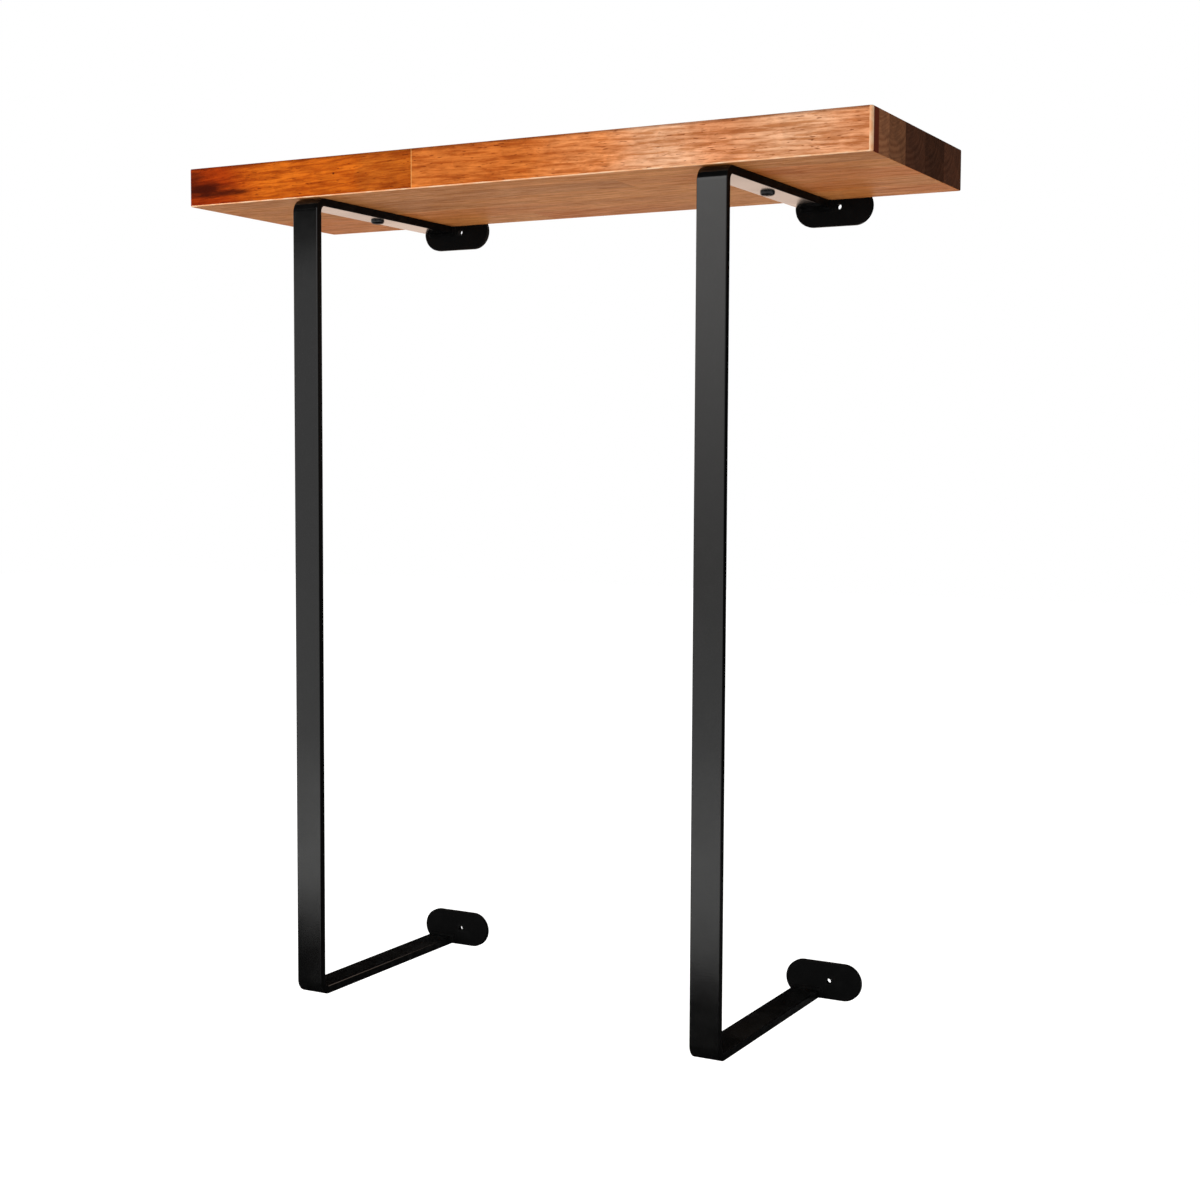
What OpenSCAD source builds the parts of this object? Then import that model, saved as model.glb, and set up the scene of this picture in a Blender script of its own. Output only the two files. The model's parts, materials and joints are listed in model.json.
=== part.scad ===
// Wall shelf: an edge-glued wooden board on two bent flat-bar brackets with welded wall plates.
// All sizes are in millimetres. X runs along the wall to the right, Y into the wall and Z up.
// The origin is on the wall, in the middle of the four holes for the wall screws.

/* [Board] */
// Length of the board along the wall
board_l = 750; // [620:5:1200]
// Depth of the board from its front edge back to the wall plates
board_d = 250; // [205:1:400]
// Thickness of the board
board_t = 39; // [28:1:60]
// Radius of the four upright corners of the board
corner_r = 3; // [1:0.5:8]
// Width of the front row of staves
row_1_w = 42; // [20:1:44]
// Width of the second row of staves
row_2_w = 43; // [20:1:45]
// Width of the middle row of staves, which takes the screws
row_3_w = 54; // [50:1:55]
// Width of the fourth row of staves; the rear row takes what is left
row_4_w = 56; // [20:1:56]
// Butt joint of the front row, from the left end of the board
joint_1 = 278; // [60:1:560]
// Butt joint of the second row, from the left end of the board
joint_2 = 480; // [60:1:560]
// Butt joint of the middle row, from the left end of the board
joint_3 = 345; // [200:1:400]
// Butt joint of the fourth row, from the left end of the board
joint_4 = 540; // [60:1:560]
// Butt joint of the rear row, from the left end of the board
joint_5 = 300; // [60:1:560]

/* [Brackets] */
// Distance between the middles of the two brackets
bracket_gap = 450; // [300:5:560]
// Height of a bracket from the top of its upper arm to the bottom of its lower arm
drop = 815; // [200:5:1200]
// Width of the flat bar
bar_w = 30; // [20:1:50]
// Thickness of the flat bar
bar_t = 8; // [4:0.5:10]
// Inside radius of the two bends
bend_r = 6; // [2:0.5:12]
// How far the upright stands in front of the board's front edge
front_step = 1; // [0:0.5:5]

/* [Wall plates] */
// Width of a wall plate over its round ends
plate_w = 82; // [70:1:120]
// Height of a wall plate
plate_h = 38; // [30:1:60]
// Thickness of a wall plate
plate_t = 6; // [3:0.5:10]
// Middle of the plate to the right of the middle of the bar
plate_shift = 18; // [0:1:24]
// Middle of the upper plate below the underside of the board
upper_plate_low = 7; // [2:0.5:12]
// Bottom edge of the lower plate below the underside of the lower arm
lower_plate_step = 1; // [0:0.5:6]
// Diameter of the hole for a wall screw
wall_hole_d = 5.5; // [4:0.1:10]
// Wall screw hole to the right of the middle of the plate
wall_hole_shift = 6; // [0:1:14]
// Leg of the fillet weld between an arm and its plate
weld_leg = 3; // [1:0.5:5]

/* [Shelf screws] */
// Diameter of the screw's shank
screw_d = 5; // [3:0.1:6]
// Length of the shank that goes into the board
screw_grip = 25; // [10:1:27]
// Diameter of the screw head
head_d = 14; // [10:0.5:16]
// Height of the screw head
head_h = 3.5; // [2:0.1:5]
// Clearance around the shank in the bar
bar_hole_play = 1; // [0.4:0.1:2]
// Clearance around the shank in the board
pilot_play = 0.2; // [0.1:0.05:0.4]

/* [Hidden] */
$fn = 96;
skin = 1; // how far a cutting shape runs past the face that it cuts
row_w = [row_1_w, row_2_w, row_3_w, row_4_w, board_d - row_1_w - row_2_w - row_3_w - row_4_w];
joint_x = [joint_1, joint_2, joint_3, joint_4, joint_5];
hole_from_bar = plate_shift + wall_hole_shift;
hole_rise = drop - upper_plate_low - plate_h / 2 + lower_plate_step;
wall_hole_z = hole_rise / 2;
arm_top_z = wall_hole_z + upper_plate_low;
arm_low_z = arm_top_z - drop;
bar_x = [-bracket_gap / 2 - hole_from_bar, bracket_gap / 2 - hole_from_bar];
board_x = -hole_from_bar - board_l / 2;
board_front = -plate_t - board_d;
bar_front = board_front - front_step;
reach = -plate_t - bar_front;
screw_y = -plate_t - board_d / 2;
recess_l = head_d * 0.45;
recess_w = 1.4;
recess_h = 1.8;
wood = "#b5683a";
steel = "#202020";

// Distance from the board's front edge to the front of a row
function row_start(row) = row == 0 ? 0 : row_start(row - 1) + row_w[row - 1];

// The whole board with its four rounded upright corners
module board_blank() {
    translate([board_x, board_front, arm_top_z])
        linear_extrude(board_t) {
            translate([corner_r, 0]) square([board_l - 2 * corner_r, board_d]);
            translate([0, corner_r]) square([board_l, board_d - 2 * corner_r]);
            for (x = [corner_r, board_l - corner_r], y = [corner_r, board_d - corner_r])
                translate([x, y]) circle(corner_r);
        }
}

// The pilot holes for the two shelf screws
module pilot_holes() {
    for (x = bar_x)
        translate([x, screw_y, arm_top_z - skin])
            cylinder(d = screw_d + pilot_play, h = screw_grip + skin + pilot_play);
}

// One stave: side 0 runs from the board's left end to the row's butt joint, side 1 from there on
module stave(row, side) {
    x0 = side == 0 ? 0 : joint_x[row];
    x1 = side == 0 ? joint_x[row] : board_l;
    color(wood)
        difference() {
            intersection() {
                board_blank();
                translate([board_x + x0, board_front + row_start(row), arm_top_z])
                    cube([x1 - x0, row_w[row], board_t]);
            }
            pilot_holes();
        }
}

// A quarter of a bend in the bar, from the Y direction round to the Z direction
module bend_quarter() {
    outer_r = bend_r + bar_t;
    intersection() {
        difference() {
            circle(outer_r);
            circle(bend_r);
        }
        square(outer_r);
    }
}

// Side outline of a bracket: upper arm, upright and lower arm joined by two bends
module bracket_outline() {
    outer_r = bend_r + bar_t;
    arm_l = reach - outer_r;
    translate([outer_r, -bar_t]) square([arm_l, bar_t]);
    translate([outer_r, -drop]) square([arm_l, bar_t]);
    translate([0, outer_r - drop]) square([bar_t, drop - 2 * outer_r]);
    translate([outer_r, -outer_r]) mirror([1, 0]) bend_quarter();
    translate([outer_r, outer_r - drop]) mirror([1, 0]) mirror([0, 1]) bend_quarter();
}

// One flat bar bent into a C, with the hole for the shelf screw in its upper arm
module bracket_bar(side) {
    color(steel)
        difference() {
            translate([bar_x[side] - bar_w / 2, bar_front, arm_top_z])
                rotate([90, 0, 90]) linear_extrude(bar_w) bracket_outline();
            translate([bar_x[side], screw_y, arm_top_z - bar_t - skin])
                cylinder(d = screw_d + bar_hole_play, h = bar_t + 2 * skin);
        }
}

// One wall plate with round ends and one hole; level is 1 for an upper plate and -1 for a lower one
module wall_plate(side, level) {
    flat_w = plate_w - plate_h;
    color(steel)
        translate([bar_x[side] + plate_shift, 0, level * wall_hole_z])
            rotate([90, 0, 0])
                difference() {
                    union() {
                        translate([-flat_w / 2, -plate_h / 2, 0]) cube([flat_w, plate_h, plate_t]);
                        for (x = [-flat_w / 2, flat_w / 2])
                            translate([x, 0, 0]) cylinder(d = plate_h, h = plate_t);
                    }
                    translate([wall_hole_shift, 0, -skin])
                        cylinder(d = wall_hole_d, h = plate_t + 2 * skin);
                }
}

// A straight fillet of the given length along X, against the plate and the face above it
module weld_strip(length) {
    rotate([90, 0, 90])
        linear_extrude(length) polygon([[0, 0], [-weld_leg, 0], [0, -weld_leg]]);
}

// The round corner of a fillet weld, a quarter cone that narrows away from the plate
module weld_corner() {
    intersection() {
        rotate([90, 0, 0]) cylinder(r1 = weld_leg, r2 = 0, h = weld_leg);
        translate([0, -weld_leg, -weld_leg]) cube(weld_leg);
    }
}

// Half of a weld: the strip under the arm's free face, one corner and one side strip
module weld_half() {
    weld_strip(bar_w / 2);
    translate([bar_w / 2, 0, 0]) {
        weld_corner();
        rotate([0, -90, 0]) weld_strip(bar_t);
    }
}

// The fillet weld round three sides of an arm's end, on the arm's face that looks into the bracket
module weld(side, level) {
    face_z = level > 0 ? arm_top_z - bar_t : arm_low_z + bar_t;
    color(steel)
        translate([bar_x[side], -plate_t, face_z])
            mirror([0, 0, level > 0 ? 0 : 1])
                union() {
                    weld_half();
                    mirror([1, 0, 0]) weld_half();
                }
}

// One screw from below: domed head with a cross recess, and a shank with a point
module shelf_screw(side) {
    dome_r = (head_d * head_d / 4 + head_h * head_h) / (2 * head_h);
    point_h = screw_d;
    color(steel)
        translate([bar_x[side], screw_y, arm_top_z - bar_t]) {
            difference() {
                intersection() {
                    translate([0, 0, dome_r - head_h]) sphere(dome_r);
                    translate([0, 0, -head_h]) cylinder(d = head_d, h = head_h);
                }
                for (turn = [0, 90])
                    rotate([0, 0, turn])
                        translate([-recess_l / 2, -recess_w / 2, -head_h - skin])
                            cube([recess_l, recess_w, recess_h + skin]);
            }
            cylinder(d = screw_d, h = bar_t + screw_grip - point_h);
            translate([0, 0, bar_t + screw_grip - point_h])
                cylinder(d1 = screw_d, d2 = 0, h = point_h);
        }
}

stave(0, 0);  // stave_front_left
stave(0, 1);  // stave_front_right
stave(1, 0);  // stave_second_left
stave(1, 1);  // stave_second_right
stave(2, 0);  // stave_middle_left
stave(2, 1);  // stave_middle_right
stave(3, 0);  // stave_fourth_left
stave(3, 1);  // stave_fourth_right
stave(4, 0);  // stave_rear_left
stave(4, 1);  // stave_rear_right
bracket_bar(0);  // bracket_bar_left
bracket_bar(1);  // bracket_bar_right
wall_plate(0, 1);  // wall_plate_upper_left
wall_plate(1, 1);  // wall_plate_upper_right
wall_plate(0, -1);  // wall_plate_lower_left
wall_plate(1, -1);  // wall_plate_lower_right
weld(0, 1);  // weld_upper_left
weld(1, 1);  // weld_upper_right
weld(0, -1);  // weld_lower_left
weld(1, -1);  // weld_lower_right
shelf_screw(0);  // shelf_screw_left
shelf_screw(1);  // shelf_screw_right
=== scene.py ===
"""Wall shelf: an edge-glued, oiled board on two bent flat-bar brackets with welded wall plates."""

import json
import math

import bmesh
import bpy
from bpy.props import FloatProperty, FloatVectorProperty, PointerProperty
from mathutils import Matrix, Vector


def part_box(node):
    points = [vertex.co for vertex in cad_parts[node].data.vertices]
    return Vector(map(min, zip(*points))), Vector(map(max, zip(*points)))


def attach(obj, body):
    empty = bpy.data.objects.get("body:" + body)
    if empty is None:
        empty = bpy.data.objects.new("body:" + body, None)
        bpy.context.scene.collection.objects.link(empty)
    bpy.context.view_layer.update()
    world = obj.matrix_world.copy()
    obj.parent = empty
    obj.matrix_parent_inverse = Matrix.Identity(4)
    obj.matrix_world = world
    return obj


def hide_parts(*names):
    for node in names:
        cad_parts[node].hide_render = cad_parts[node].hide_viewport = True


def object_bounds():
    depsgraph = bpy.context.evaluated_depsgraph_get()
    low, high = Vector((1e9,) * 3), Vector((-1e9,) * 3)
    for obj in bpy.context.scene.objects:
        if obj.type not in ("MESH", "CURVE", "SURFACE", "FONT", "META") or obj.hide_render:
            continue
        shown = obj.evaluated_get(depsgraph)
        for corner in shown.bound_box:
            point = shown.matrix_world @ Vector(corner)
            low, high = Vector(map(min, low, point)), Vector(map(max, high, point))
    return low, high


bl_info = {
    "name": "Wall Shelf",
    "version": (1, 0, 0),
    "blender": (4, 5, 0),
    "location": "3D View > Sidebar > Shelf",
    "description": "Models an oiled board on two black flat-bar wall brackets",
    "category": "Add Mesh",
}

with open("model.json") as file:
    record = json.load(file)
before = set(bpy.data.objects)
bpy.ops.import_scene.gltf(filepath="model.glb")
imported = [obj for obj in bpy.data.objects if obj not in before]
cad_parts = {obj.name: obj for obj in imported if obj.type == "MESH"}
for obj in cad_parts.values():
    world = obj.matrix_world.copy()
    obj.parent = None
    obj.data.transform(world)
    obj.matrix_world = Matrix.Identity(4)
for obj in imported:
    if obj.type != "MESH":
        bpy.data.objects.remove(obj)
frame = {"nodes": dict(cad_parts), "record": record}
cad_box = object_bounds()

ROWS = ("front", "second", "middle", "fourth", "rear")
SIDES = ("left", "right")
LEVELS = ("upper", "lower")
TOUCH = 2e-5  # two faces nearer than this lie in one plane, in metres
HOLE_REACH = 0.05  # a hole takes the faces that are nearer than this to its stated middle
SHARP = math.radians(35)  # an edge that turns more than this stays sharp
BEND_STEPS = 14  # faces round one bend of a bar
BEAD_STEPS = 8  # faces round one corner of a weld bead

# Colour sockets of a Mix node, which has a set of sockets for each kind of value
MIX_FACTOR, MIX_A, MIX_B, MIX_RESULT = 0, 6, 7, 2

# What the wood is multiplied by where a mask is full
GRAIN_TINT = (0.62, 0.46, 0.32, 1)
CLOUD_TINT = (0.74, 0.62, 0.5, 1)
PORE_TINT = (0.4, 0.26, 0.18, 1)
FIGURE_TINT = (1.35, 1.4, 1.45, 1)
ARC_TINT = (0.6, 0.5, 0.45, 1)
END_PORE_TINT = (0.5, 0.42, 0.38, 1)
ARRIS_TINT = (0.42, 0.4, 0.42, 1)

# Specular levels of the wood, low enough to keep a white haze off it
FACE_SPECULAR = 0.03
END_SPECULAR = 0.05
# The pale edge finish is a painted highlight; this is its specular level
PAINTED_HIGHLIGHT_SPECULAR = 0.3

# Roughness and specular level of the coat and of its shaded copy, whose low specular level is painted
# shade that keeps reflections off the plates, the welds and the bars' edges
SMOOTH_COAT = (0.15, 0.4)
SHADED_COAT = (0.5, 0.04)


def rgb(code):
    """Linear colour from a six-figure screen colour code."""
    parts = [int(code[i:i + 2], 16) / 255 for i in (0, 2, 4)]
    return tuple(p / 12.92 if p <= 0.04045 else ((p + 0.055) / 1.055) ** 2.4 for p in parts)


def colour(name, description, code):
    """A colour that a user can change."""
    return FloatVectorProperty(
        name=name, description=description, subtype="COLOR", size=3, min=0, max=1, default=rgb(code)
    )


def size(name, description, metres):
    """A length that a user can change."""
    return FloatProperty(name=name, description=description, unit="LENGTH", min=0, default=metres)


class ShelfSizes(bpy.types.PropertyGroup):
    """Small sizes of the finish, on top of the sizes that the frame gives."""

    corner: size("Board corner", "Radius of the board's four upright corners", 0.003)
    arris: size("Board arris", "Width of the eased edge round the board", 0.0011)
    bar_edge: size("Bar edge", "Radius along the long edges of the flat bar", 0.0009)
    plate_edge: size("Plate edge", "Radius round the rim of a wall plate", 0.0008)
    hole_edge: size("Hole edge", "Width of the eased rim of a wall screw hole", 0.0004)
    bead_pitch: size("Weld pitch", "Distance from one ripple of a weld bead to the next", 0.0016)
    bead_ripple: size("Weld ripple", "Height of the ripples on a weld bead", 0.00022)
    thread_pitch: size("Thread pitch", "Distance between two turns of the screw thread", 0.0018)
    shank: size("Shank", "Diameter of the shelf screws over the thread", 0.005)
    pilot_play: size("Pilot play", "Clearance round the shank in the board", 0.0002)
    bar_play: size("Bar play", "Clearance round the shank in the bar", 0.001)


class ShelfColours(bpy.types.PropertyGroup):
    """Tones of the oiled staves and of the black metal."""

    knot: colour("Knot", "Darkest heartwood, round a knot", "3B0D02")
    rust: colour("Rust", "Dark red-brown heartwood", "9B3706")
    amber: colour("Amber", "Strong orange heartwood", "C56516")
    umber: colour("Umber", "Brown heartwood", "BA631B")
    ochre: colour("Ochre", "Orange-brown wood", "D07936")
    honey: colour("Honey", "Light orange wood", "DE925A")
    apricot: colour("Apricot", "Pale orange wood", "E7A67B")
    salmon: colour("Salmon", "Pale pinkish sapwood", "E7B591")
    tan: colour("Tan", "Soft brown of the board's faces", "D69154")
    olive: colour("Olive", "Greyer brown of the board's faces", "C88852")
    clay: colour("Clay", "Redder brown of the board's faces", "D68546")
    # Painted highlight: the pale colour that stands for light caught on the rounded front edges
    painted_highlight: colour("Painted edge highlight", "Painted highlight along the rounded front edges", "E7C29D")
    glue: colour("Glue line", "Thin line where two staves meet end to end", "E1AC65")
    end_light: colour("End grain, light", "Lighter end grain", "9D6744")
    end_dark: colour("End grain, dark", "Darker end grain", "563423")
    end_bark: colour("End grain, edge", "Red-black strip at the front edge of the end", "632715")
    coat: colour("Powder coat", "Black coat of the brackets", "080808")
    screw: colour("Screw", "Blackened steel of the shelf screws", "0E0E0F")
    floor: colour("Floor", "Pale studio floor", "F2F2F0")


class ShelfStage(bpy.types.PropertyGroup):
    """Camera and lights."""

    lens: FloatProperty(name="Lens", description="Focal length", unit="CAMERA", default=55.17)
    azimuth: FloatProperty(
        name="Azimuth", description="Camera turned to the right of straight ahead",
        subtype="ANGLE", default=math.radians(28.35)
    )
    elevation: FloatProperty(
        name="Elevation", description="Camera above the level of its aim", subtype="ANGLE",
        default=math.radians(3.95)
    )
    roll: FloatProperty(
        name="Roll", description="Camera turned about its own axis", subtype="ANGLE",
        default=math.radians(0.29)
    )
    aim: FloatVectorProperty(
        name="Aim", description="Point that the camera looks at", subtype="TRANSLATION", size=3,
        default=(-0.045, -0.006, -0.0105)
    )
    reach: size("Distance", "From the camera to the point it looks at", 2.0)
    floor_gap: size("Floor gap", "Height of the lower brackets above the studio floor", 0.2)
    world: FloatProperty(name="Sky", description="Strength of the even light", min=0, default=0.62)
    key: FloatProperty(
        name="Key", description="Power of the large front light in watts", min=0, default=45
    )
    fill: FloatProperty(
        name="Fill", description="Power of the low front light in watts", min=0, default=10
    )


# Shader helpers


def add(tree, kind, inputs=None, **options):
    """Adds a node, sets its options and gives its sockets a value or a link."""
    made = tree.nodes.new(kind)
    for option, value in options.items():
        setattr(made, option, value)
    for key, value in (inputs or {}).items():
        if isinstance(value, bpy.types.NodeSocket):
            tree.links.new(value, made.inputs[key])
        else:
            made.inputs[key].default_value = value
    return made


def calc(tree, operation, first, second=0.0):
    """One step of arithmetic."""
    return add(tree, "ShaderNodeMath", {0: first, 1: second}, operation=operation).outputs[0]


def spread(tree, value, low, high, to_low=0.0, to_high=1.0):
    """Maps a range of values smoothly onto another."""
    inputs = {"Value": value, "From Min": low, "From Max": high, "To Min": to_low, "To Max": to_high}
    return add(tree, "ShaderNodeMapRange", inputs, interpolation_type="SMOOTHSTEP").outputs[0]


def spread_line(tree, value, low, high):
    """Share of the way from low to high."""
    inputs = {"Value": value, "From Min": low, "From Max": high}
    return add(tree, "ShaderNodeMapRange", inputs).outputs[0]


def blend(tree, factor, first, second, mode="MIX"):
    """Mixes two colours."""
    inputs = {MIX_FACTOR: factor, MIX_A: first, MIX_B: second}
    made = add(tree, "ShaderNodeMix", inputs, data_type="RGBA", blend_type=mode)
    return made.outputs[MIX_RESULT]


def tinted(tree, shade, mask, strength, tint):
    """The colour multiplied by a tint, as far as a mask and a strength say."""
    return blend(tree, calc(tree, "MULTIPLY", mask, strength), shade, tint, "MULTIPLY")


def stretched(tree, vector, scale):
    """The vector with its axes scaled."""
    return add(tree, "ShaderNodeMapping", {"Vector": vector, "Scale": scale}).outputs[0]


def noise(tree, vector, detail=3.0, rough=0.55, distortion=0.0, scale=1.0):
    """A noise value between 0 and 1."""
    inputs = {
        "Vector": vector, "Scale": scale, "Detail": detail, "Roughness": rough, "Distortion": distortion
    }
    return add(tree, "ShaderNodeTexNoise", inputs).outputs["Fac"]


def new_group(name, inputs, outputs):
    """An empty shader node group with named sockets."""
    tree = bpy.data.node_groups.new(name, "ShaderNodeTree")
    for label, kind in inputs:
        tree.interface.new_socket(name=label, in_out="INPUT", socket_type=kind)
    for label in outputs:
        tree.interface.new_socket(name=label, in_out="OUTPUT", socket_type="NodeSocketFloat")
    return tree, tree.nodes.new("NodeGroupInput").outputs, tree.nodes.new("NodeGroupOutput").inputs


def empty_material(name):
    """A material with only its output node. Returns it, its tree and its surface socket."""
    material = bpy.data.materials.new(name)
    material.use_nodes = True
    tree = material.node_tree
    tree.nodes.clear()
    return material, tree, tree.nodes.new("ShaderNodeOutputMaterial").inputs["Surface"]


def new_material(name):
    """A material with its tree, its shader's inputs and its object coordinates."""
    material, tree, surface = empty_material(name)
    shader = tree.nodes.new("ShaderNodeBsdfPrincipled")
    tree.links.new(shader.outputs[0], surface)
    place = tree.nodes.new("ShaderNodeTexCoord").outputs["Object"]
    return material, tree, shader.inputs, place


def bump(tree, height, distance, strength=1.0):
    """Surface normal with a fine relief, its height in metres."""
    return add(
        tree, "ShaderNodeBump", {"Height": height, "Distance": distance, "Strength": strength}
    ).outputs[0]


# Shared effects


def grain_group():
    """Long grain of a stave: growth rings, fine fibres, pores and slow clouds of tone."""
    if "Stave grain" in bpy.data.node_groups:
        return bpy.data.node_groups["Stave grain"]
    tree, source, result = new_group(
        "Stave grain", [("Vector", "NodeSocketVector"), ("Rings per metre", "NodeSocketFloat")],
        ("Rings", "Fibre", "Pores", "Cloud", "Figure")
    )
    place = source["Vector"]
    sway = noise(tree, stretched(tree, place, (5, 26, 26)), detail=2, distortion=0.4)
    across = add(
        tree, "ShaderNodeVectorMath", {0: stretched(tree, place, (0.035, 1, 1))}, operation="LENGTH"
    ).outputs["Value"]
    radius = calc(tree, "ADD", across, calc(tree, "MULTIPLY", sway, 0.016))
    rings = add(
        tree, "ShaderNodeTexNoise",
        {"W": radius, "Scale": source["Rings per metre"], "Detail": 3.0, "Roughness": 0.6},
        noise_dimensions="1D"
    ).outputs["Fac"]
    tree.links.new(spread(tree, rings, 0.3, 0.7), result["Rings"])
    fibre = noise(tree, stretched(tree, place, (26, 330, 330)), detail=4, rough=0.7, distortion=0.3)
    tree.links.new(spread(tree, fibre, 0.36, 0.66), result["Fibre"])
    dots = noise(tree, stretched(tree, place, (110, 800, 800)), detail=1)
    tree.links.new(spread(tree, dots, 0.66, 0.74), result["Pores"])
    cloud = noise(tree, stretched(tree, place, (9, 30, 30)), detail=3, distortion=0.6)
    tree.links.new(spread(tree, cloud, 0.3, 0.7), result["Cloud"])
    figure = noise(tree, stretched(tree, place, (55, 120, 120)), detail=3, distortion=1.2)
    tree.links.new(spread(tree, figure, 0.32, 0.68), result["Figure"])
    return tree


def end_group():
    """End grain of a stave: arcs of growth rings, rays and open pores."""
    if "End grain" in bpy.data.node_groups:
        return bpy.data.node_groups["End grain"]
    tree, source, result = new_group(
        "End grain", [("Vector", "NodeSocketVector")], ("Arcs", "Pores", "Cloud")
    )
    place = source["Vector"]
    flat = stretched(tree, place, (0, 1, 1))
    sway = noise(tree, flat, detail=2, scale=45)
    across = add(tree, "ShaderNodeVectorMath", {0: flat}, operation="LENGTH").outputs["Value"]
    radius = calc(tree, "ADD", across, calc(tree, "MULTIPLY", sway, 0.008))
    arcs = add(
        tree, "ShaderNodeTexNoise", {"W": radius, "Scale": 330.0, "Detail": 2.0}, noise_dimensions="1D"
    ).outputs["Fac"]
    tree.links.new(spread(tree, arcs, 0.3, 0.7), result["Arcs"])
    dots = noise(tree, flat, detail=1, scale=1500)
    tree.links.new(spread(tree, dots, 0.6, 0.7), result["Pores"])
    cloud = noise(tree, flat, detail=3, scale=70, distortion=0.8)
    tree.links.new(spread(tree, cloud, 0.3, 0.7), result["Cloud"])
    return tree


def coat_group():
    """Powder coat: orange peel, faint cloudiness and a lighter look along edges, partly wear and partly
    a painted sheen.
    """
    if "Coat surface" in bpy.data.node_groups:
        return bpy.data.node_groups["Coat surface"]
    tree, source, result = new_group(
        "Coat surface", [("Vector", "NodeSocketVector"), ("Grit", "NodeSocketFloat")],
        ("Peel", "Cloud", "Wear")
    )
    place = source["Vector"]
    peel = add(
        tree, "ShaderNodeTexNoise", {"Vector": place, "Scale": source["Grit"], "Detail": 2.0}
    ).outputs["Fac"]
    tree.links.new(peel, result["Peel"])
    tree.links.new(spread(tree, noise(tree, place, detail=4, scale=14), 0.3, 0.7), result["Cloud"])
    point = tree.nodes.new("ShaderNodeNewGeometry").outputs["Pointiness"]
    edge = spread(tree, point, 0.515, 0.57)
    patchy = spread(tree, noise(tree, place, detail=5, scale=90), 0.42, 0.7)
    tree.links.new(calc(tree, "MULTIPLY", edge, patchy), result["Wear"])
    return tree


def group(tree, source, place, **values):
    """Places a shared effect in a material and returns its outputs."""
    made = add(tree, "ShaderNodeGroup", node_tree=source)
    tree.links.new(place, made.inputs["Vector"])
    for label, value in values.items():
        made.inputs[label].default_value = value
    return made.outputs


# Tones along each stave, as shares of its length from its left end, and how its tree lay:
# the middle of the rings from the stave's own middle, in metres, and the lean of the grain in degrees.
# The front edge of the board took more oil than its faces, so it has tones of its own.
FACES = {
    ("front", "left"): dict(tones=((0, "olive"), (1, "olive")), heart=(0.1, 0.05, -0.09), lean=1.0),
    ("front", "right"): dict(
        tones=((0, "olive"), (0.3, "tan"), (0.6, "tan"), (1, "olive")),
        heart=(0.1, 0.06, 0.08), lean=-0.8
    ),
    ("second", "left"): dict(
        tones=((0, "tan"), (0.5, "olive"), (1, "olive")), heart=(0, 0.02, 0.09), lean=1.2
    ),
    ("second", "right"): dict(
        tones=((0, "tan"), (0.6, "clay"), (1, "tan")), heart=(0.2, -0.03, 0.1), lean=-1.4
    ),
    ("middle", "left"): dict(
        tones=((0, "tan"), (0.6, "olive"), (1, "tan")), heart=(0, -0.05, 0.08), lean=-0.8
    ),
    ("middle", "right"): dict(
        tones=((0, "tan"), (0.4, "tan"), (1, "clay")), heart=(-0.1, 0.03, 0.07), lean=1.0
    ),
    ("fourth", "left"): dict(tones=((0, "clay"), (1, "tan")), heart=(0.1, 0.04, 0.09), lean=0.6),
    ("fourth", "right"): dict(
        tones=((0, "tan"), (0.5, "clay"), (1, "tan")), heart=(0, -0.04, 0.06), lean=1.5
    ),
    ("rear", "left"): dict(tones=((0, "clay"), (1, "tan")), heart=(0, 0.05, 0.06), lean=-1.2),
    ("rear", "right"): dict(
        tones=((0, "clay"), (0.6, "tan"), (1, "clay")), heart=(0.1, -0.02, 0.08), lean=0.9
    ),
}
FRONT_EDGE = {
    "left": dict(
        tones=(
            (0, "rust"), (0.14, "rust"), (0.36, "amber"), (0.6, "amber"), (0.76, "amber"),
            (0.8, "umber"), (0.97, "umber"),
        ),
        heart=(0.1, 0.07, -0.03), lean=1.6,
    ),
    "right": dict(
        tones=(
            (0, "ochre"), (0.25, "ochre"), (0.42, "honey"), (0.56, "salmon"), (0.7, "apricot"),
            (0.84, "salmon"), (1, "apricot"),
        ),
        heart=(-0.3, 0.09, 0.05), lean=-1.0,
    ),
}


def with_alpha(tone):
    """A colour with full cover."""
    return (tone[0], tone[1], tone[2], 1.0)


def tone_ramp(tree, share, tones, colours):
    """Colour ramp along a stave."""
    made = add(tree, "ShaderNodeValToRGB", {"Fac": share})
    ramp = made.color_ramp
    ramp.interpolation = "EASE"
    while len(ramp.elements) < len(tones):
        ramp.elements.new(0.5)
    for element, (position, tone) in zip(ramp.elements, sorted(tones)):
        element.position = position
        element.color = with_alpha(getattr(colours, tone))
    return made.outputs["Color"]


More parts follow.
